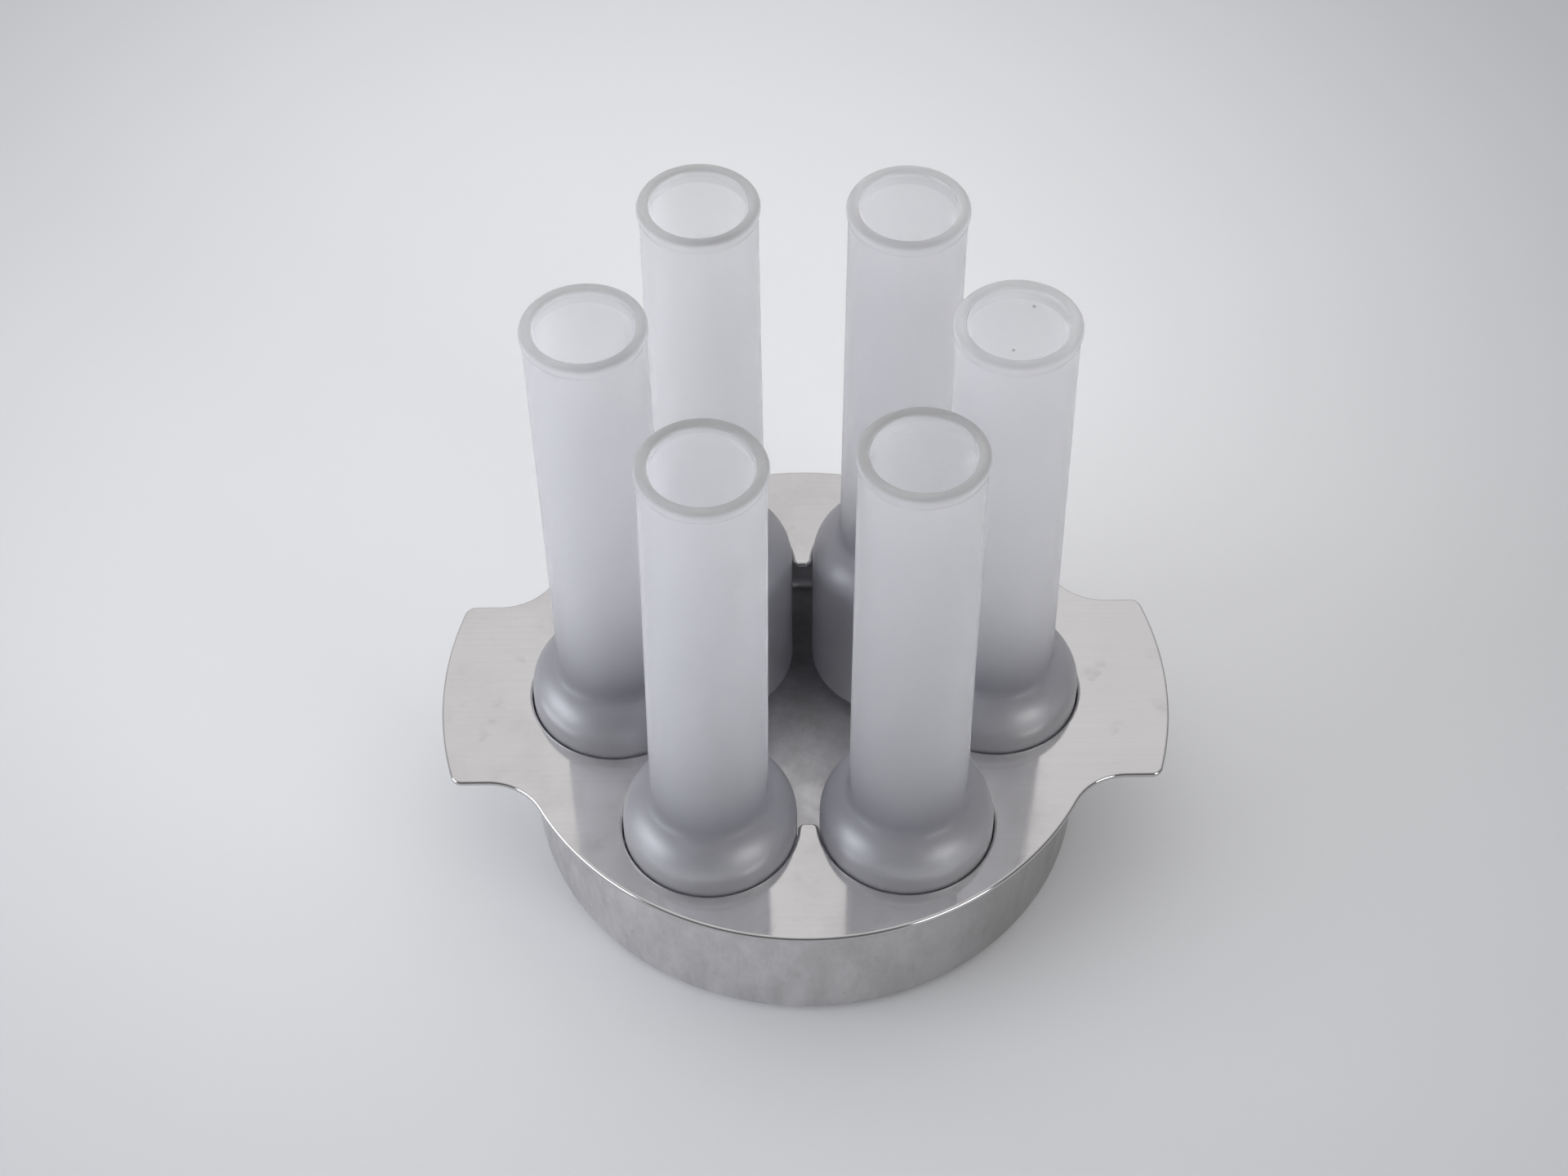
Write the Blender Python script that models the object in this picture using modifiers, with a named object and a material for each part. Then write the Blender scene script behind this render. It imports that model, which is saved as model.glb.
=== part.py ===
"""Six frosted glass tubes with bulb feet, standing in a round stainless steel carrier with two lifting ears.

The origin is the centre of the pan's underside. +Z is up, +X points to the right-hand ear, and -Y is the front.
"""

import math

import bpy

# Carrier plate: a round sheet with an ear at each side
PLATE_RADIUS = 0.090
PLATE_TOP_Z = 0.049
PLATE_THICKNESS = 0.002
PLATE_EDGE_CHAMFER = 0.0004
EAR_REACH = 0.110
EAR_HALF_WIDTH = 0.034
EAR_CORNER_RADIUS = 0.0035
EAR_FILLET_RADIUS = 0.018

# Opening in the plate: six tube holes that run into one central hole and leave six tongues
HOLE_RADIUS = 0.026
HOLE_PITCH_RADIUS = 0.057
CENTRE_RADIUS = 0.050
TONGUE_CORNER_RADIUS = 0.0018

# Base pan: a vertical wall under the plate and a flat floor
PAN_RADIUS = 0.084
PAN_SHEET = 0.001
PAN_CORNER_RADIUS = 0.005

# Glass tube, with heights measured from the underside of its foot
TUBE_HEIGHT = 0.199
GLASS_WALL = 0.003
BULB_RADIUS = 0.025
BULB_SIDE_TOP = 0.0515
FOOT_ROUND = 0.006
SHOULDER_RADIUS = 0.0135
NECK_RADIUS = 0.004
BODY_RADIUS_LOW = 0.0169
BODY_RADIUS_HIGH = 0.0164
RIM_RADIUS = 0.0170
RIM_HEIGHT = 0.0035

# Clearance between neighbouring pieces
GAP = 0.0003

# Mesh fineness
PAN_STEPS = 64
TUBE_STEPS = 24
PLATE_ARC_STEP = math.radians(4.0)
HOLE_ARC_STEP = math.radians(10.0)
SMALL_ARC_STEP = math.radians(22.5)
COARSE_ARC_STEP = math.radians(45.0)
STEP_TOLERANCE = 1e-6
MERGE_DISTANCE = 0.00001

# The tubes' places, anticlockwise from the right-hand ear
TUBE_NAMES = (
    "tube_right",
    "tube_rear_right",
    "tube_rear_left",
    "tube_left",
    "tube_front_left",
    "tube_front_right",
)
SECTOR = math.tau / len(TUBE_NAMES)


def clear_scene():
    for obj in list(bpy.data.objects):
        bpy.data.objects.remove(obj, do_unlink=True)


def make_material(name, colour, roughness, metallic, transmission=0.0):
    material = bpy.data.materials.new(name)
    material.use_nodes = True
    shader = material.node_tree.nodes["Principled BSDF"]
    shader.inputs["Base Color"].default_value = (*colour, 1.0)
    shader.inputs["Roughness"].default_value = roughness
    shader.inputs["Metallic"].default_value = metallic
    shader.inputs["Transmission Weight"].default_value = transmission
    material.diffuse_color = (*colour, 1.0)
    return material


def arc(centre, radius, start, end, step):
    """Points on an arc from angle start to angle end, at most step apart, with both ends and the middle."""
    count = 2 * max(1, math.ceil(abs(end - start) / (2 * step) - STEP_TOLERANCE))
    angles = (start + (end - start) * i / count for i in range(count + 1))
    return [(centre[0] + radius * math.cos(a), centre[1] + radius * math.sin(a)) for a in angles]


def turned(points, angle):
    """The same points, turned by an angle about the origin."""
    cos, sin = math.cos(angle), math.sin(angle)
    return [(x * cos - y * sin, x * sin + y * cos) for x, y in points]


def half_turned(points):
    return [(-x, -y) for x, y in points]


def ear_outline():
    """The right-hand ear, anticlockwise: lower fillet, lower corner, end arc, upper corner, upper fillet."""
    fillet_y = EAR_HALF_WIDTH + EAR_FILLET_RADIUS
    fillet_x = math.sqrt((PLATE_RADIUS + EAR_FILLET_RADIUS) ** 2 - fillet_y**2)
    fillet_angle = math.atan2(fillet_y, fillet_x)
    corner_y = EAR_HALF_WIDTH - EAR_CORNER_RADIUS
    corner_x = math.sqrt((EAR_REACH - EAR_CORNER_RADIUS) ** 2 - corner_y**2)
    corner_angle = math.atan2(corner_y, corner_x)
    upper = arc((corner_x, corner_y), EAR_CORNER_RADIUS, corner_angle, math.pi / 2, SMALL_ARC_STEP)
    upper += arc(
        (fillet_x, fillet_y),
        EAR_FILLET_RADIUS,
        1.5 * math.pi,
        math.pi + fillet_angle,
        HOLE_ARC_STEP,
    )
    lower = [(x, -y) for x, y in reversed(upper)]
    end = arc((0, 0), EAR_REACH, -corner_angle, corner_angle, PLATE_ARC_STEP)
    return lower + end[1:-1] + upper, fillet_angle


def plate_outline():
    """The plate's outer edge, anticlockwise: an ear, the rear of the disc, the other ear, the front."""
    ear, ear_angle = ear_outline()
    rear = arc((0, 0), PLATE_RADIUS, ear_angle, math.pi - ear_angle, PLATE_ARC_STEP)
    half = ear + rear[1:-1]
    return half + half_turned(half)


def opening_outline():
    """The six-lobed opening, anticlockwise: a lobe and the tongue after it, six times over.

    Each corner of a tongue is an arc that touches a tube hole and the central hole from outside both.
    """
    to_corner = CENTRE_RADIUS + TONGUE_CORNER_RADIUS
    hole_to_corner = HOLE_RADIUS + TONGUE_CORNER_RADIUS
    cosine = (to_corner**2 + HOLE_PITCH_RADIUS**2 - hole_to_corner**2) / (2 * to_corner * HOLE_PITCH_RADIUS)
    corner_angle = math.acos(cosine)
    corner = (to_corner * math.cos(corner_angle), to_corner * math.sin(corner_angle))
    lobe_angle = math.atan2(corner[1], corner[0] - HOLE_PITCH_RADIUS)
    lobe = arc((HOLE_PITCH_RADIUS, 0), HOLE_RADIUS, -lobe_angle, lobe_angle, HOLE_ARC_STEP)
    rounding = arc(
        corner,
        TONGUE_CORNER_RADIUS,
        lobe_angle - math.pi,
        corner_angle - math.pi,
        SMALL_ARC_STEP,
    )
    next_rounding = turned([(x, -y) for x, y in reversed(rounding)], SECTOR)
    sector = lobe + rounding[1:] + next_rounding[:-1]
    return [point for i in range(len(TUBE_NAMES)) for point in turned(sector, i * SECTOR)]


def add_outline(curve, points):
    spline = curve.splines.new("POLY")
    spline.points.add(len(points) - 1)
    for spline_point, (x, y) in zip(spline.points, points):
        spline_point.co = (x, y, 0.0, 1.0)
    spline.use_cyclic_u = True


def make_plate(collection, parent, material):
    """A flat 2D curve, raised to the sheet's thickness, with a small chamfer along every edge."""
    curve = bpy.data.curves.new("top_plate", "CURVE")
    curve.dimensions = "2D"
    curve.fill_mode = "BOTH"
    curve.extrude = PLATE_THICKNESS / 2 - PLATE_EDGE_CHAMFER
    curve.bevel_depth = PLATE_EDGE_CHAMFER
    curve.bevel_resolution = 0
    curve.offset = -PLATE_EDGE_CHAMFER
    add_outline(curve, plate_outline())
    add_outline(curve, opening_outline())
    curve.materials.append(material)
    plate = bpy.data.objects.new("top_plate", curve)
    plate.location = (0, 0, PLATE_TOP_Z - PLATE_THICKNESS / 2)
    plate.parent = parent
    collection.objects.link(plate)
    return plate


def make_profile(name, points, material):
    """An open or closed wire in the XZ plane, to be turned about Z. Points on the axis close the shape there."""
    mesh = bpy.data.meshes.new(name)
    edges = [(i, i + 1) for i in range(len(points) - 1)]
    mesh.from_pydata([(r, 0, z) for r, z in points], edges, [])
    mesh.materials.append(material)
    return mesh


def add_turned(name, mesh, steps, collection, parent, location):
    """A full turn of a profile mesh, with its round faces shaded smooth."""
    obj = bpy.data.objects.new(name, mesh)
    screw = obj.modifiers.new("turn", "SCREW")
    screw.axis = "Z"
    screw.angle = math.tau
    screw.steps = steps
    screw.render_steps = steps
    screw.use_merge_vertices = True
    screw.merge_threshold = MERGE_DISTANCE
    screw.use_smooth_shade = True
    obj.location = location
    obj.parent = parent
    collection.objects.link(obj)
    return obj


def pan_profile():
    """Out along the top of the floor, up the inside, over the wall's edge, down the outside, back underneath."""
    wall_top = PLATE_TOP_Z - PLATE_THICKNESS - GAP
    corner = (PAN_RADIUS - PAN_CORNER_RADIUS, PAN_CORNER_RADIUS)
    inner_radius = PAN_CORNER_RADIUS - PAN_SHEET
    points = [(0, PAN_SHEET)]
    points += arc(corner, inner_radius, -math.pi / 2, 0, COARSE_ARC_STEP)
    points += [(PAN_RADIUS - PAN_SHEET, wall_top), (PAN_RADIUS, wall_top)]
    points += arc(corner, PAN_CORNER_RADIUS, 0, -math.pi / 2, COARSE_ARC_STEP)
    points.append((0, 0))
    return points


def tube_side(inset):
    """One skin of the tube from below the rim down to the axis, moved inwards by inset.

    The shoulder curves out over the bulb and the neck curves in to the body, and the two arcs touch.
    """
    shoulder = (BULB_RADIUS - SHOULDER_RADIUS, BULB_SIDE_TOP)
    neck_x = BODY_RADIUS_LOW + NECK_RADIUS
    reach = SHOULDER_RADIUS + NECK_RADIUS
    neck_z = shoulder[1] + math.sqrt(reach**2 - (neck_x - shoulder[0]) ** 2)
    tangent = math.atan2(neck_z - shoulder[1], neck_x - shoulder[0])
    points = arc((neck_x, neck_z), NECK_RADIUS + inset, math.pi, math.pi + tangent, SMALL_ARC_STEP)
    points += arc(shoulder, SHOULDER_RADIUS - inset, tangent, 0, SMALL_ARC_STEP)[1:]
    foot = (BULB_RADIUS - FOOT_ROUND, FOOT_ROUND)
    points += arc(foot, FOOT_ROUND - inset, 0, -math.pi / 2, COARSE_ARC_STEP)
    points.append((0, inset))
    return points


def tube_profile():
    """Up the inside from the middle of the foot, over the round rim, and down the outside to the foot again."""
    bore_radius = BODY_RADIUS_HIGH - GLASS_WALL
    rim_round = (RIM_RADIUS - bore_radius) / 2
    rim_centre = (bore_radius + rim_round, TUBE_HEIGHT - rim_round)
    inside = list(reversed(tube_side(GLASS_WALL)))
    rim = arc(rim_centre, rim_round, math.pi, 0, COARSE_ARC_STEP)
    under_rim = (BODY_RADIUS_HIGH, TUBE_HEIGHT - RIM_HEIGHT)
    return inside + rim + [under_rim] + tube_side(0)


def build():
    clear_scene()
    parts = bpy.data.collections.new("pipette_set")
    bpy.context.scene.collection.children.link(parts)
    steel = make_material("brushed_steel", (0.62, 0.61, 0.59), 0.35, 1.0)
    pan_steel = make_material("pan_steel", (0.55, 0.54, 0.52), 0.42, 1.0)
    glass = make_material("frosted_glass", (0.86, 0.87, 0.90), 0.45, 0.0, 0.7)

    carrier = bpy.data.objects.new("carrier", None)
    parts.objects.link(carrier)
    make_plate(parts, carrier, steel)
    pan_mesh = make_profile("base_pan", pan_profile(), pan_steel)
    add_turned("base_pan", pan_mesh, PAN_STEPS, parts, carrier, (0, 0, 0))

    tube_mesh = make_profile("glass_tube", tube_profile(), glass)
    foot_z = PAN_SHEET + GAP
    for i, name in enumerate(TUBE_NAMES):
        angle = i * SECTOR
        place = (HOLE_PITCH_RADIUS * math.cos(angle), HOLE_PITCH_RADIUS * math.sin(angle), foot_z)
        add_turned(name, tube_mesh, TUBE_STEPS, parts, None, place)


build()
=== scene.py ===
"""Looks for the pipette set: frosted glass tubes with bulb feet in a round brushed steel carrier."""

import math

import bpy
import numpy as np
from mathutils import Matrix, Vector


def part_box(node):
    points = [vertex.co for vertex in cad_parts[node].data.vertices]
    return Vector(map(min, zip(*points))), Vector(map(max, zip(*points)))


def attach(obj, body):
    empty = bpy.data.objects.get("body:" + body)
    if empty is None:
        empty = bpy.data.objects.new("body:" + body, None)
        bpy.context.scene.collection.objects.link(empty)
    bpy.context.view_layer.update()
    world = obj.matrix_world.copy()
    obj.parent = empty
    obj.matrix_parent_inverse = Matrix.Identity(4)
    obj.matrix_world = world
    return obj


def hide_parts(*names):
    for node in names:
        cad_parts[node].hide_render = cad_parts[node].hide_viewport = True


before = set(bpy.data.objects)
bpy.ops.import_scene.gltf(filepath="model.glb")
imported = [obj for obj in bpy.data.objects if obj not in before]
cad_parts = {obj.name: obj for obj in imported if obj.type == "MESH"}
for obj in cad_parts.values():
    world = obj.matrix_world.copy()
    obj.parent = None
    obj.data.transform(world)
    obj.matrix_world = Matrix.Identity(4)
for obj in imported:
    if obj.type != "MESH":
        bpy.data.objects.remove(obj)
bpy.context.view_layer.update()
MM = 0.001

# ---------------------------------------------------------------- sizes

PLATE_LOW, PLATE_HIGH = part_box("top_plate")
PAN_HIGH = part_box("base_pan")[1]

# The carrier plate
EAR_REACH = PLATE_HIGH.x
PLATE_RADIUS = PLATE_HIGH.y
PLATE_TOP = PLATE_HIGH.z
PLATE_THICKNESS = PLATE_HIGH.z - PLATE_LOW.z
PLATE_EDGE_ROUND = 0.9 * MM
PLATE_EDGE_STEPS = 3
PLATE_ARC_STEPS = 96
EAR_HALF_WIDTH = 34 * MM
EAR_CORNER_RADIUS = 3.5 * MM
EAR_FILLET_RADIUS = 18 * MM
HOLE_RADIUS = 25.6 * MM
HOLE_PITCH_RADIUS = 57 * MM
CENTRE_RADIUS = 50 * MM
TONGUE_CORNER_RADIUS = 1.8 * MM
SECTOR = math.radians(60)
SECTORS = 6
LEVEL_FACE = 0.999

# The pan under it
PAN_RADIUS = PAN_HIGH.x
PAN_SHEET = 1 * MM
PAN_CORNER_RADIUS = 5 * MM
PAN_FLOOR_RINGS = (20 * MM, 50 * MM)
PAN_UNDERSIDE_RING = 40 * MM
PAN_SEAM = 0.02 * MM
PAN_STEPS = 240

# The glass tubes, heights from the underside of the foot
GLASS_WALL = 3 * MM
BULB_FIT = 0.25 * MM
BULB_SIDE_TOP = 51.5 * MM
FOOT_ROUND = 6 * MM
SHOULDER_RADIUS = 13.5 * MM
NECK_RADIUS = 4 * MM
BODY_RADIUS_LOW = 16.9 * MM
BODY_RADIUS_HIGH = 16.4 * MM
RIM_RADIUS = 17.0 * MM
BORE_RADIUS = BODY_RADIUS_HIGH - GLASS_WALL
BEAD_RADIUS = (RIM_RADIUS - BORE_RADIUS) / 2
TUBE_STEPS = 96

# Under the rim's bead: the fall to the body, and a crease on the way, placed by its share of the fall
BEAD_FALL = 3.2 * MM
BEAD_FALL_STEPS = 14
CREASE_PLACE = 0.72
CREASE_WIDTH = 0.12

# The ground ring on the bead, and the clear band in the bore with the finer rings around its edge
RING_START = 0.5 * MM
RING_FADE = 0.8 * MM
CLEAR_BAND = 4.2 * MM
CLEAR_FADE = 1.0 * MM
FINE_BORE = 4 * MM

# The height over which a tube goes from upright to its full lean, above the bulb
LEAN_BEND = 12 * MM

# Each tube: lean of the rim (x, y) in mm, depth of the crease under the rim in mm, tint, seed, dark specks,
# greyness of the rim
TUBES = {
    "tube_right": ((-1.8, 0.7), 0.06, (0.982, 0.982, 0.990), 11, 1.2, 0.38),
    "tube_rear_right": ((0.1, -2.4), 0.07, (0.978, 0.978, 0.989), 23, 0.1, 0.5),
    "tube_rear_left": ((0.0, -0.6), 0.10, (0.973, 0.973, 0.977), 37, 0.15, 0.75),
    "tube_left": ((-0.9, 1.3), 0.16, (0.972, 0.972, 0.980), 41, 0.1, 0.6),
    "tube_front_left": ((1.6, 0.6), 0.20, (0.972, 0.972, 0.980), 53, 0.15, 0.82),
    "tube_front_right": ((-0.2, 4.0), 0.12, (0.980, 0.980, 0.986), 67, 0.15, 0.8),
}

# ---------------------------------------------------------------- looks

# Glass. The heights, from above to below, are where the body's look turns into the bulb's painted shade, and
# where its gloss sets in. The edge angles are where the painted shade on the outline sets in, from face on at
# 0 to edge on at 1.
BULB_HEIGHTS = (85 * MM, 50 * MM)
GLOSS_HEIGHTS = (70 * MM, 55 * MM)
SEED_SHIFT = (0.37, 0.11)
GLASS_IOR = 1.45
CLOUD_SHADE = 0.985
# Painted shade on the bulb: a darker tint over the glass and a dark diffuse share stand in for the dark pan
# seen through it
BULB_PAINTED_SHADE_TINT = (0.96, 0.96, 0.995)
BULB_PAINTED_SHADE = (0.355, 0.355, 0.39)
BULB_SHADE_AND_GLOSS_SHARE = 0.7
RIM_TINT = (0.5, 0.5, 0.49)
RIM_COLOUR = (0.42, 0.42, 0.41)
RIM_SHARE = 0.6
RIM_ROUGHNESS = 0.25
CLEAR_ROUGHNESS = 0.12
BODY_SHEEN = 0.1
BULB_SHEEN = 0.8
SHEEN_ROUGHNESS = 0.35
SHEEN_IOR = 1.5
GLOSS = 0.52
GLOSS_ROUGHNESS = 0.47
SCATTER = 0.27
SCATTER_COLOUR = (0.76, 0.76, 0.775)
# Painted shade: a dark diffuse mixed into the frosted glass towards its outline
EDGE_ANGLES = (0.45, 0.95)
EDGE_PAINTED_SHADE = 0.17
EDGE_PAINTED_SHADE_COLOUR = (0.3, 0.3, 0.31)
SPECK_SCALE = 230.0
SPECK_SIZES = (0.16, 0.08)
SPECK_CHANCE = 0.02
SPECK_SHARE = 0.7
SPECK_COLOUR = (0.12, 0.12, 0.13)

# Plate: two tones of clean sheet, and what lies over them
PLATE_TONES = (0.58, 0.569, 0.572), (0.54, 0.529, 0.532)
PLATE_SMUDGE = (0.45, 0.435, 0.43)
PLATE_LINES = (0.42, 0.41, 0.41)
PLATE_MARK = (0.36, 0.345, 0.34)

# Pan: two tones of its skin, its specks, and the painted shade that grows from near the middle to the right
PAN_TONES = (0.52, 0.51, 0.515), (0.67, 0.66, 0.665)
PAN_SPECK = (0.40, 0.38, 0.36)
PAN_PAINTED_SHADE_TONE = (0.30, 0.295, 0.29)
PAN_PAINTED_SHADE_START = -20 * MM
PAN_PAINTED_SHADE = 0.7

# Table: two near tones, the darker tone of the painted falloff, and the painted pool of light between them,
# its reach in metres
TABLE_HALF = 3.0
TABLE_TONES = (0.918, 0.922, 0.936), (0.938, 0.942, 0.956)
TABLE_PAINTED_FALLOFF = (0.50, 0.51, 0.53)
TABLE_ROUGHNESS = 0.6
POOL_OFFSET = (0.06, -0.19, 0.0)
POOL_SCALE = (1.2, 1.0, 0.0)
POOL_REACH = (0.08, 0.61)

# Surroundings: the spread is the cosine of the angle to the bright side, from dim to bright
DOME_BRIGHT_SIDE = (-0.1, 0.55, 0.83)
DOME_SPREAD = (0.1, 0.95)
DOME_DIM = 0.18
DOME_BRIGHT = 1.0
DOME_COLOUR = (0.99, 0.986, 0.988, 1.0)

# Windows: place, size, power and colour
WINDOWS = {
    "window": ((-1.46, -0.38, 0.5), (1.2, 0.6), 11.5, (0.93, 0.97, 1.06)),
    "side_window": ((0.95, -0.95, 0.55), (0.6, 0.5), 4.6, (1, 1, 1)),
}
WINDOW_TARGET = (0, 0, 0.1)

# Camera: angles in degrees; it is placed first, then turned with its place about the middle of the object
CAMERA_PLACE = (-0.00626, -0.48131, 0.65979)
CAMERA_TURN = -0.46
CAMERA_DOWN = 49.52
CAMERA_ROLL = -0.36
CAMERA_LENS = 58.73
CAMERA_SENSOR = 36.0

# Bounces, enough for light to cross several glass walls
MAX_BOUNCES = 24
GLOSSY_BOUNCES = 12

# ---------------------------------------------------------------- shader helpers


def add(tree, kind, inputs=None, **settings):
    """A shader node, with its settings and its inputs given as values or as other nodes' outputs."""
    node = tree.nodes.new("ShaderNode" + kind)
    for key, value in settings.items():
        setattr(node, key, value)
    for key, value in (inputs or {}).items():
        socket = node.inputs[key]
        if isinstance(value, bpy.types.NodeSocket):
            tree.links.new(value, socket)
        else:
            socket.default_value = value
    return node


def maths(tree, operation, a, b=0.0, c=0.0):
    return add(tree, "Math", {0: a, 1: b, 2: c}, operation=operation).outputs[0]


def times(tree, value, *factors):
    for factor in factors:
        value = maths(tree, "MULTIPLY", value, factor)
    return value


def remap(tree, value, low, high, to_low=0.0, to_high=1.0):
    """A smooth step from to_low to to_high while the value goes from low to high."""
    inputs = {"Value": value, "From Min": low, "From Max": high, "To Min": to_low, "To Max": to_high}
    return add(tree, "MapRange", inputs, interpolation_type="SMOOTHSTEP").outputs[0]


def object_place(tree):
    return add(tree, "TexCoord").outputs["Object"]


def axis_value(tree, here, axis):
    return add(tree, "SeparateXYZ", {0: here}).outputs[axis]


def point_value(tree, name):
    return add(tree, "Attribute", attribute_name=name).outputs["Fac"]


def place(tree, coordinates, scale=(1, 1, 1), offset=(0, 0, 0)):
    inputs = {"Vector": coordinates, "Scale": scale, "Location": offset}
    return add(tree, "Mapping", inputs).outputs[0]


def noise(tree, vector, scale, detail, roughness):
    inputs = {"Vector": vector, "Scale": scale, "Detail": detail, "Roughness": roughness}
    return add(tree, "TexNoise", inputs).outputs["Fac"]


def bump_map(tree, height, strength, distance):
    inputs = {"Strength": strength, "Distance": distance, "Height": height}
    return add(tree, "Bump", inputs).outputs[0]


def mix_colour(tree, factor, a, b):
    node = add(tree, "Mix", {0: factor}, data_type="RGBA")
    for socket, value in ((node.inputs[6], a), (node.inputs[7], b)):
        if isinstance(value, bpy.types.NodeSocket):
            tree.links.new(value, socket)
        else:
            socket.default_value = (*value, 1.0)
    return node.outputs[2]


def one_colour(tree, kind, colour, **inputs):
    """A surface of one colour: Diffuse, Translucent, or Anisotropic, which is Blender's glossy one."""
    return add(tree, "Bsdf" + kind, {"Color": (*colour, 1.0), **inputs}).outputs[0]


def principled(tree, inputs):
    return add(tree, "BsdfPrincipled", inputs).outputs[0]


def mix_surfaces(tree, share, a, b):
    return add(tree, "MixShader", {0: share, 1: a, 2: b}).outputs[0]


def new_material(name):
    material = bpy.data.materials.new(name)
    material.use_nodes = True
    material.node_tree.nodes.clear()
    return material, material.node_tree


def finish_material(tree, surface):
    add(tree, "OutputMaterial", {"Surface": surface})


# ---------------------------------------------------------------- materials


def specks_mask(tree, here, specks):
    """Round dots in a few cells of a Voronoi pattern."""
    dots = add(tree, "TexVoronoi", {"Vector": here, "Scale": SPECK_SCALE}, feature="F1")
    chance = add(tree, "SeparateColor", {"Color": dots.outputs["Color"]}).outputs[0]
    dot = remap(tree, dots.outputs["Distance"], *SPECK_SIZES)
    return times(tree, dot, maths(tree, "LESS_THAN", chance, SPECK_CHANCE * specks))


def frosted_glass(name, tint, seed, specks, rim_grey):
    """Milky frosted glass with painted shade on its edges and satin bulb, a grey ground rim and a clear band
    inside.
    """
    material, tree = new_material(name)
    here = object_place(tree)
    height = axis_value(tree, here, "Z")
    bulb = remap(tree, height, *BULB_HEIGHTS)
    foot = remap(tree, height, *GLOSS_HEIGHTS)
    here = place(tree, here, offset=(seed * SEED_SHIFT[0], seed * SEED_SHIFT[1], 0))

    # Where the glass is frosted, with a ragged limit, where it is ground, and which skin is the outer one
    ragged = maths(tree, "MULTIPLY_ADD", noise(tree, here, 260, 4, 0.6), 0.2, point_value(tree, "frost"))
    frost = remap(tree, ragged, 0.15, 1.0)
    rim = point_value(tree, "rim")
    outside = point_value(tree, "outside")

    # Roughness, colour and grain
    cloud = noise(tree, place(tree, here, (1, 1, 0.35)), 60, 4, 0.55)
    cloudy = remap(tree, cloud, 0.3, 0.7, 0.88, 0.96)
    frosted = maths(tree, "ADD", cloudy, times(tree, bulb, 0.04))
    polished = maths(tree, "MULTIPLY_ADD", rim, RIM_ROUGHNESS, CLEAR_ROUGHNESS)
    rough = add(tree, "Mix", {0: frost, 2: polished, 3: frosted}, data_type="FLOAT").outputs[0]
    shaded_tint = tuple(c * CLOUD_SHADE for c in tint)
    colour = mix_colour(tree, remap(tree, cloud, 0.3, 0.75), tint, shaded_tint)
    colour = mix_colour(tree, bulb, colour, BULB_PAINTED_SHADE_TINT)
    colour = mix_colour(tree, times(tree, rim, rim_grey), colour, RIM_TINT)
    dirt = times(tree, specks_mask(tree, here, specks), SPECK_SHARE)
    colour = mix_colour(tree, dirt, colour, SPECK_COLOUR)
    grain = noise(tree, here, 2600, 2, 0.6)
    bump = bump_map(tree, grain, times(tree, frost, 0.25), 0.02 * MM)

    # Rough glass, with a milky share on the outer skin of the body
    sheen = times(tree, frost, remap(tree, foot, 0, 1, BODY_SHEEN, BULB_SHEEN))
    inputs = {
        "Base Color": colour,
        "Roughness": rough,
        "IOR": GLASS_IOR,
        "Transmission Weight": 1.0,
        "Normal": bump,
        "Coat Weight": sheen,
        "Coat Roughness": SHEEN_ROUGHNESS,
        "Coat IOR": SHEEN_IOR,
    }
    glass = principled(tree, inputs)
    diffuse = one_colour(tree, "Diffuse", SCATTER_COLOUR, Normal=bump)
    through = one_colour(tree, "Translucent", SCATTER_COLOUR, Normal=bump)
    milky = mix_surfaces(tree, 0.5, diffuse, through)
    body = maths(tree, "SUBTRACT", 1.0, bulb)
    surface = mix_surfaces(tree, times(tree, frost, outside, body, SCATTER), glass, milky)

    # The ground rim, and the painted shade towards the outline
    ground = one_colour(tree, "Diffuse", RIM_COLOUR, Normal=bump)
    surface = mix_surfaces(tree, times(tree, rim, RIM_SHARE * rim_grey), surface, ground)
    facing = add(tree, "LayerWeight", {"Blend": 0.5}).outputs["Facing"]
    turning = remap(tree, facing, *EDGE_ANGLES, 0.0, EDGE_PAINTED_SHADE)
    painted_edge_shade = one_colour(tree, "Diffuse", EDGE_PAINTED_SHADE_COLOUR)
    surface = mix_surfaces(tree, times(tree, outside, frost, turning), surface, painted_edge_shade)

    # The bulb's painted shade: a dark diffuse for the dark pan seen through the glass, glossier towards the
    # foot
    painted_shade = one_colour(tree, "Diffuse", BULB_PAINTED_SHADE, Normal=bump)
    gloss = one_colour(tree, "Anisotropic", (1, 1, 1), Roughness=GLOSS_ROUGHNESS, Normal=bump)
    shade_and_gloss = mix_surfaces(tree, times(tree, foot, GLOSS), painted_shade, gloss)
    surface = mix_surfaces(tree, times(tree, bulb, outside, BULB_SHADE_AND_GLOSS_SHARE), surface, shade_and_gloss)
    finish_material(tree, surface)
    return material


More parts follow.
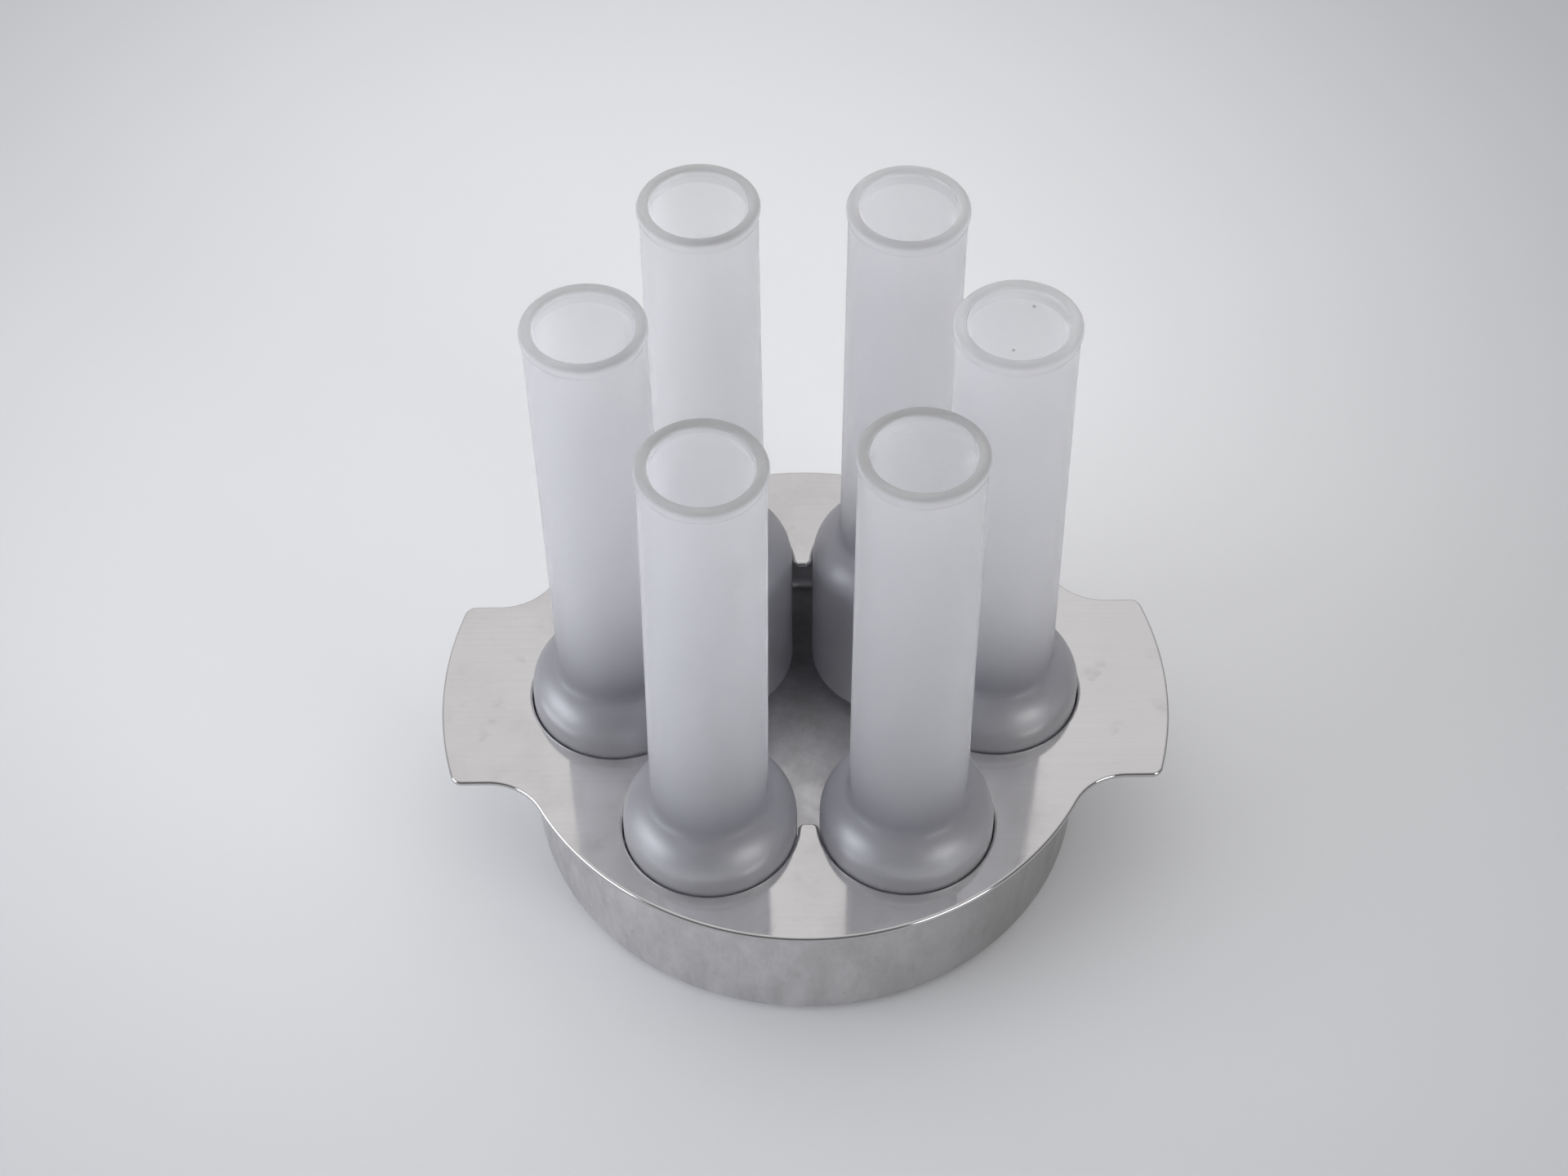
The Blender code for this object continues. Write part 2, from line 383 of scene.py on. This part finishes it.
def brushed_steel():
    """Sheet steel brushed from side to side, its reflections drawn out up and down, with faint smudges."""
    material, tree = new_material("brushed_steel")
    here = object_place(tree)
    fine = noise(tree, place(tree, here, (12, 900, 1)), 3.0, 3, 0.6)
    broad = noise(tree, place(tree, here, (10, 420, 1)), 2.0, 3, 0.6)
    smudge = noise(tree, here, 28, 5, 0.6)
    stain = noise(tree, here, 9, 4, 0.6)
    mark = noise(tree, here, 75, 3, 0.6)
    ripple = noise(tree, place(tree, here, (1, 1.6, 1)), 14, 1, 0.4)

    tone = mix_colour(tree, remap(tree, stain, 0.35, 0.7), *PLATE_TONES)
    tone = mix_colour(tree, remap(tree, smudge, 0.45, 0.75, 0.0, 0.6), tone, PLATE_SMUDGE)
    tone = mix_colour(tree, remap(tree, broad, 0.35, 0.7, 0.0, 0.09), tone, PLATE_LINES)
    tone = mix_colour(tree, remap(tree, mark, 0.60, 0.76, 0.0, 0.35), tone, PLATE_MARK)
    smudged = remap(tree, smudge, 0.3, 0.75, 0.075, 0.105)
    rough = maths(tree, "ADD", smudged, remap(tree, fine, 0.3, 0.7, -0.01, 0.02))
    height = maths(tree, "MULTIPLY_ADD", broad, 0.01, ripple)
    inputs = {
        "Base Color": tone,
        "Metallic": 1.0,
        "Roughness": rough,
        "Anisotropic": 0.5,
        "Tangent": add(tree, "CombineXYZ", {"X": 0.0, "Y": 1.0, "Z": 0.0}).outputs[0],
        "Normal": bump_map(tree, height, 0.3, 0.12 * MM),
    }
    finish_material(tree, principled(tree, inputs))
    return material


def pan_steel():
    """Drawn sheet steel with a dull, blotchy skin and painted shade towards the right."""
    material, tree = new_material("pan_steel")
    here = object_place(tree)
    blotch = noise(tree, place(tree, here, (1, 1, 0.45)), 85, 7, 0.72)
    streak = noise(tree, place(tree, here, (240, 240, 14)), 1.0, 3, 0.6)
    speck = noise(tree, here, 240, 2, 0.5)

    tone = mix_colour(tree, remap(tree, blotch, 0.3, 0.7), *PAN_TONES)
    tone = mix_colour(tree, remap(tree, speck, 0.68, 0.78, 0.0, 0.5), tone, PAN_SPECK)
    # Painted shade: the pan darker towards the right, where it reflects dimmer surroundings
    across = axis_value(tree, here, "X")
    painted_shade = remap(tree, across, PAN_PAINTED_SHADE_START, PAN_RADIUS, 0.0, PAN_PAINTED_SHADE)
    tone = mix_colour(tree, painted_shade, tone, PAN_PAINTED_SHADE_TONE)
    blotched = remap(tree, blotch, 0.3, 0.7, 0.42, 0.30)
    rough = maths(tree, "ADD", blotched, remap(tree, streak, 0.3, 0.7, -0.03, 0.03))
    height = maths(tree, "ADD", blotch, times(tree, streak, 0.12))
    inputs = {
        "Base Color": tone,
        "Metallic": 1.0,
        "Roughness": rough,
        "Normal": bump_map(tree, height, 0.4, 0.2 * MM),
    }
    finish_material(tree, principled(tree, inputs))
    return material


def table_top():
    """A matt, pale, slightly cool table in a soft painted pool of light that falls off further out."""
    material, tree = new_material("table_top")
    here = object_place(tree)
    cloud = noise(tree, here, 3.0, 4, 0.5)
    tone = mix_colour(tree, remap(tree, cloud, 0.3, 0.7), *TABLE_TONES)
    # Painted light: a pool, pale near the object and falling off to the darker tone further out
    pool = place(tree, here, POOL_SCALE, POOL_OFFSET)
    reach = add(tree, "VectorMath", {0: pool}, operation="LENGTH").outputs["Value"]
    tone = mix_colour(tree, remap(tree, reach, *POOL_REACH), tone, TABLE_PAINTED_FALLOFF)
    finish_material(tree, principled(tree, {"Base Color": tone, "Roughness": TABLE_ROUGHNESS}))
    return material


# ---------------------------------------------------------------- shapes


def arc(centre, radius, start, end, count):
    """Points on an arc from angle start to angle end, with both ends, in count steps."""
    angles = (start + (end - start) * i / count for i in range(count + 1))
    return [(centre[0] + radius * math.cos(a), centre[1] + radius * math.sin(a)) for a in angles]


def line(start, end, count):
    """Points on a straight line, without its first point, in count steps."""
    shares = (i / count for i in range(1, count + 1))
    return [(start[0] + (end[0] - start[0]) * t, start[1] + (end[1] - start[1]) * t) for t in shares]


def turned(points, angle):
    cos, sin = math.cos(angle), math.sin(angle)
    return [(x * cos - y * sin, x * sin + y * cos) for x, y in points]


def add_object(name, mesh, material, body, replaced):
    obj = bpy.data.objects.new(name, mesh)
    bpy.context.scene.collection.objects.link(obj)
    mesh.materials.clear()
    mesh.materials.append(material)
    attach(obj, body)
    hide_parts(replaced)


def lathe(name, profile, steps):
    """A mesh turned about Z from (radius, height) points that start and end on the axis."""
    ring = np.array(profile[1:-1], float)
    angles = np.arange(steps) * math.tau / steps
    x = np.outer(np.cos(angles), ring[:, 0])
    y = np.outer(np.sin(angles), ring[:, 0])
    z = np.tile(ring[:, 1], (steps, 1))
    points = np.stack([x, y, z], axis=-1).reshape(-1, 3)
    count = len(ring)
    first, last = steps * count, steps * count + 1
    points = np.vstack([points, [(0, 0, profile[0][1]), (0, 0, profile[-1][1])]])
    faces = []
    for i in range(steps):
        a, b = i * count, (i + 1) % steps * count
        faces.append((first, a, b))
        faces += [(a + j, a + j + 1, b + j + 1, b + j) for j in range(count - 1)]
        faces.append((a + count - 1, last, b + count - 1))
    mesh = bpy.data.meshes.new(name)
    mesh.from_pydata(points.tolist(), [], faces)
    mesh.shade_smooth()
    return mesh


def ear_outline():
    """The ear on the right, from its lower fillet to its upper one, and the angle where that ends."""
    fillet_y = EAR_HALF_WIDTH + EAR_FILLET_RADIUS
    fillet_x = math.sqrt((PLATE_RADIUS + EAR_FILLET_RADIUS) ** 2 - fillet_y**2)
    fillet_angle = math.atan2(fillet_y, fillet_x)
    corner_y = EAR_HALF_WIDTH - EAR_CORNER_RADIUS
    corner_x = math.sqrt((EAR_REACH - EAR_CORNER_RADIUS) ** 2 - corner_y**2)
    corner_angle = math.atan2(corner_y, corner_x)
    upper = arc((corner_x, corner_y), EAR_CORNER_RADIUS, corner_angle, math.pi / 2, 12)
    upper += arc((fillet_x, fillet_y), EAR_FILLET_RADIUS, 1.5 * math.pi, math.pi + fillet_angle, 16)
    lower = [(x, -y) for x, y in reversed(upper)]
    end = arc((0, 0), EAR_REACH, -corner_angle, corner_angle, 24)
    return lower + end[1:-1] + upper, fillet_angle


def plate_outline():
    ear, ear_angle = ear_outline()
    rear = arc((0, 0), PLATE_RADIUS, ear_angle, math.pi - ear_angle, PLATE_ARC_STEPS)
    half = ear + rear[1:-1]
    return half + [(-x, -y) for x, y in half]


def opening_outline():
    """Six tube holes joined by the central hole, with rounded tongues between them."""
    to_corner = CENTRE_RADIUS + TONGUE_CORNER_RADIUS
    hole_to_corner = HOLE_RADIUS + TONGUE_CORNER_RADIUS
    squares = to_corner**2 + HOLE_PITCH_RADIUS**2 - hole_to_corner**2
    corner_angle = math.acos(squares / (2 * to_corner * HOLE_PITCH_RADIUS))
    corner = (to_corner * math.cos(corner_angle), to_corner * math.sin(corner_angle))
    lobe_angle = math.atan2(corner[1], corner[0] - HOLE_PITCH_RADIUS)
    lobe = arc((HOLE_PITCH_RADIUS, 0), HOLE_RADIUS, -lobe_angle, lobe_angle, PLATE_ARC_STEPS)
    rounding = arc(corner, TONGUE_CORNER_RADIUS, lobe_angle - math.pi, corner_angle - math.pi, 10)
    next_rounding = turned([(x, -y) for x, y in reversed(rounding)], SECTOR)
    sector = lobe + rounding[1:] + next_rounding[:-1]
    return [point for i in range(SECTORS) for point in turned(sector, i * SECTOR)]


def build_plate(material):
    """A flat curve with its opening, given the sheet's thickness and rounded at every edge."""
    curve = bpy.data.curves.new("plate", "CURVE")
    curve.dimensions = "2D"
    curve.fill_mode = "BOTH"
    curve.extrude = PLATE_THICKNESS / 2 - PLATE_EDGE_ROUND
    curve.bevel_depth = PLATE_EDGE_ROUND
    curve.bevel_resolution = PLATE_EDGE_STEPS
    curve.offset = -PLATE_EDGE_ROUND
    for outline in (plate_outline(), opening_outline()):
        spline = curve.splines.new("POLY")
        spline.points.add(len(outline) - 1)
        for point, (x, y) in zip(spline.points, outline):
            point.co = (x, y, 0.0, 1.0)
        spline.use_cyclic_u = True
    source = bpy.data.objects.new("plate_curve", curve)
    bpy.context.scene.collection.objects.link(source)
    bpy.context.view_layer.update()
    mesh = bpy.data.meshes.new_from_object(source.evaluated_get(bpy.context.evaluated_depsgraph_get()))
    bpy.data.objects.remove(source)
    bpy.data.curves.remove(curve)
    mesh.name = "plate_sheet"
    mesh.transform(Matrix.Translation((0, 0, PLATE_TOP - PLATE_THICKNESS / 2)))
    for face in mesh.polygons:
        face.use_smooth = abs(face.normal.z) < LEVEL_FACE
    add_object("plate_sheet", mesh, material, "carrier", "top_plate")


def build_pan(material):
    """Out along the floor, up inside the wall, over its edge, down the outside and back underneath."""
    wall_top = PLATE_LOW.z - PAN_SEAM
    corner = (PAN_RADIUS - PAN_CORNER_RADIUS, PAN_CORNER_RADIUS)
    inner = PAN_RADIUS - PAN_SHEET
    quarter = math.pi / 2
    profile = [(radius, PAN_SHEET) for radius in (0, *PAN_FLOOR_RINGS)]
    profile += arc(corner, PAN_CORNER_RADIUS - PAN_SHEET, -quarter, 0, 8)
    profile += line((inner, PAN_CORNER_RADIUS), (inner, wall_top), 12)
    profile += line((inner, wall_top), (PAN_RADIUS, wall_top), 1)
    profile += line((PAN_RADIUS, wall_top), (PAN_RADIUS, PAN_CORNER_RADIUS), 16)
    profile += arc(corner, PAN_CORNER_RADIUS, 0, -quarter, 12)[1:]
    profile += [(PAN_UNDERSIDE_RING, 0), (0, 0)]
    mesh = lathe("pan_shell", profile, PAN_STEPS)
    add_object("pan_shell", mesh, material, "carrier", "base_pan")


def tube_side(inset, bulb_radius):
    """One skin of the tube from the neck down to the axis, moved inwards by inset."""
    shoulder = (bulb_radius - SHOULDER_RADIUS, BULB_SIDE_TOP)
    neck_x = BODY_RADIUS_LOW + NECK_RADIUS
    reach = SHOULDER_RADIUS + NECK_RADIUS
    neck_z = shoulder[1] + math.sqrt(reach**2 - (neck_x - shoulder[0]) ** 2)
    tangent = math.atan2(neck_z - shoulder[1], neck_x - shoulder[0])
    points = arc((neck_x, neck_z), NECK_RADIUS + inset, math.pi, math.pi + tangent, 10)
    points += arc(shoulder, SHOULDER_RADIUS - inset, tangent, 0, 14)[1:]
    foot = (bulb_radius - FOOT_ROUND, FOOT_ROUND)
    points += line(points[-1], (bulb_radius - inset, FOOT_ROUND), 10)
    points += arc(foot, FOOT_ROUND - inset, 0, -math.pi / 2, 8)[1:]
    points.append((0, inset))
    return points


def bead_fall(bead_z, crease):
    """From the widest point of the bead down to the body, with the crease on the way."""
    points = []
    for i in range(1, BEAD_FALL_STEPS + 1):
        t = i / BEAD_FALL_STEPS
        blend = t * t * (3 - 2 * t)
        groove = crease * MM * math.exp(-(((t - CREASE_PLACE) / CREASE_WIDTH) ** 2))
        radius = RIM_RADIUS + (BODY_RADIUS_HIGH - RIM_RADIUS) * blend - groove
        points.append((radius, bead_z - BEAD_FALL * t))
    return points


def tube_profile(height, bulb_radius, crease):
    """From the middle of the foot up the bore, over the round bead of the rim, and down the outside."""
    bead_z = height - BEAD_RADIUS
    outside = tube_side(0, bulb_radius)
    points = list(reversed(tube_side(GLASS_WALL, bulb_radius)))
    points += line(points[-1], (BORE_RADIUS, bead_z - FINE_BORE), 36)
    points += line(points[-1], (BORE_RADIUS, bead_z), 10)
    points += arc((BORE_RADIUS + BEAD_RADIUS, bead_z), BEAD_RADIUS, math.pi, 0, 20)[1:]
    points += bead_fall(bead_z, crease)
    points += line(points[-1], outside[0], 40)
    return points + outside[1:]


def mark_skins(mesh, co, profile, height):
    """Point values for the glass: the ground ring on the rim, the frosted part, and the outer skin."""
    bead_z = height - BEAD_RADIUS
    rim = np.clip((co[:, 2] - bead_z - RING_START) / RING_FADE, 0, 1)
    in_bore = np.hypot(co[:, 0], co[:, 1]) < BODY_RADIUS_HIGH - GLASS_WALL / 2
    bore_frost = np.clip((height - CLEAR_BAND - co[:, 2]) / CLEAR_FADE, 0, 1)
    frost = np.where(in_bore, bore_frost, 1 - rim)
    outside = np.zeros(len(co))
    top = max(range(len(profile)), key=lambda i: profile[i][1])
    ring_count = len(profile) - 2
    place_in_ring = np.arange(TUBE_STEPS * ring_count) % ring_count
    outside[: TUBE_STEPS * ring_count] = place_in_ring > top - 1
    outside[-1] = 1.0
    for key, values in (("frost", frost), ("rim", rim), ("outside", outside)):
        attribute = mesh.attributes.new(key, "FLOAT", "POINT")
        attribute.data.foreach_set("value", values.astype(np.float32))


def lean_over(co, lean, height):
    """Tip the points above the bulb, so that the rim moves sideways by the lean."""
    pivot = BULB_SIDE_TOP + SHOULDER_RADIUS
    share = np.clip((co[:, 2] - pivot) / LEAN_BEND, 0, 1)
    share = share * share * (3 - 2 * share)
    for axis in (0, 1):
        angle = share * lean[axis] * MM / (height - pivot - LEAN_BEND / 2)
        along, up = co[:, axis].copy(), co[:, 2] - pivot
        co[:, axis] = along * np.cos(angle) + up * np.sin(angle)
        co[:, 2] = pivot + up * np.cos(angle) - along * np.sin(angle)


def build_tube(name, lean, crease, material):
    low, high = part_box(name)
    height = high.z - low.z
    bulb_radius = (high.x - low.x) / 2 + BULB_FIT
    centre = Vector(((low.x + high.x) / 2, (low.y + high.y) / 2, low.z))
    profile = tube_profile(height, bulb_radius, crease)
    mesh = lathe(name + "_glass", profile, TUBE_STEPS)
    co = np.zeros(len(mesh.vertices) * 3)
    mesh.vertices.foreach_get("co", co)
    co = co.reshape(-1, 3)
    mark_skins(mesh, co, profile, height)
    lean_over(co, lean, height)
    co += np.array(centre)
    mesh.vertices.foreach_set("co", co.ravel())
    mesh.update()
    add_object(name + "_glass", mesh, material, name, name)


# ---------------------------------------------------------------- table, light and camera


def build_table():
    mesh = bpy.data.meshes.new("table")
    corners = [(x * TABLE_HALF, y * TABLE_HALF, 0) for x, y in ((-1, -1), (1, -1), (1, 1), (-1, 1))]
    mesh.from_pydata(corners, [], [(0, 1, 2, 3)])
    mesh.materials.append(table_top())
    obj = bpy.data.objects.new("table", mesh)
    bpy.context.scene.collection.objects.link(obj)


def studio_dome():
    """Soft surroundings: brightest high up behind the object, a little to the left; dim behind the camera."""
    world = bpy.data.worlds.new("studio")
    bpy.context.scene.world = world
    world.use_nodes = True
    tree = world.node_tree
    direction = add(tree, "TexCoord").outputs["Generated"]
    inputs = {0: direction, 1: Vector(DOME_BRIGHT_SIDE).normalized()}
    towards = add(tree, "VectorMath", inputs, operation="DOT_PRODUCT").outputs["Value"]
    strength = remap(tree, towards, *DOME_SPREAD, DOME_DIM, DOME_BRIGHT)
    background = tree.nodes["Background"]
    background.inputs["Color"].default_value = DOME_COLOUR
    tree.links.new(strength, background.inputs["Strength"])


def add_window(name, location, size, power, colour):
    light = bpy.data.lights.new(name, "AREA")
    light.shape = "RECTANGLE"
    light.size, light.size_y = size
    light.energy = power
    light.color = colour
    obj = bpy.data.objects.new(name, light)
    obj.location = location
    obj.rotation_euler = (Vector(WINDOW_TARGET) - Vector(location)).to_track_quat("-Z", "Y").to_euler()
    bpy.context.scene.collection.objects.link(obj)


def add_camera():
    camera = bpy.data.cameras.new("camera")
    camera.lens = CAMERA_LENS
    camera.sensor_width = CAMERA_SENSOR
    obj = bpy.data.objects.new("camera", camera)
    turn = Matrix.Rotation(math.radians(CAMERA_TURN), 4, "Z")
    tilt = Matrix.Rotation(math.radians(90 - CAMERA_DOWN), 4, "X")
    roll = Matrix.Rotation(math.radians(CAMERA_ROLL), 4, "Z")
    obj.matrix_world = Matrix.Translation(turn @ Vector(CAMERA_PLACE)) @ turn @ tilt @ roll
    bpy.context.scene.collection.objects.link(obj)
    bpy.context.scene.camera = obj


# ---------------------------------------------------------------- build

build_plate(brushed_steel())
build_pan(pan_steel())
for tube, (lean, crease, tint, seed, specks, rim_grey) in TUBES.items():
    glass = frosted_glass("glass_" + tube, tint, seed, specks, rim_grey)
    build_tube(tube, lean, crease, glass)

build_table()
studio_dome()
for window, settings in WINDOWS.items():
    add_window(window, *settings)
add_camera()

scene = bpy.context.scene
scene.view_settings.view_transform = "Standard"
scene.cycles.max_bounces = MAX_BOUNCES
scene.cycles.glossy_bounces = GLOSSY_BOUNCES
scene.cycles.transmission_bounces = MAX_BOUNCES
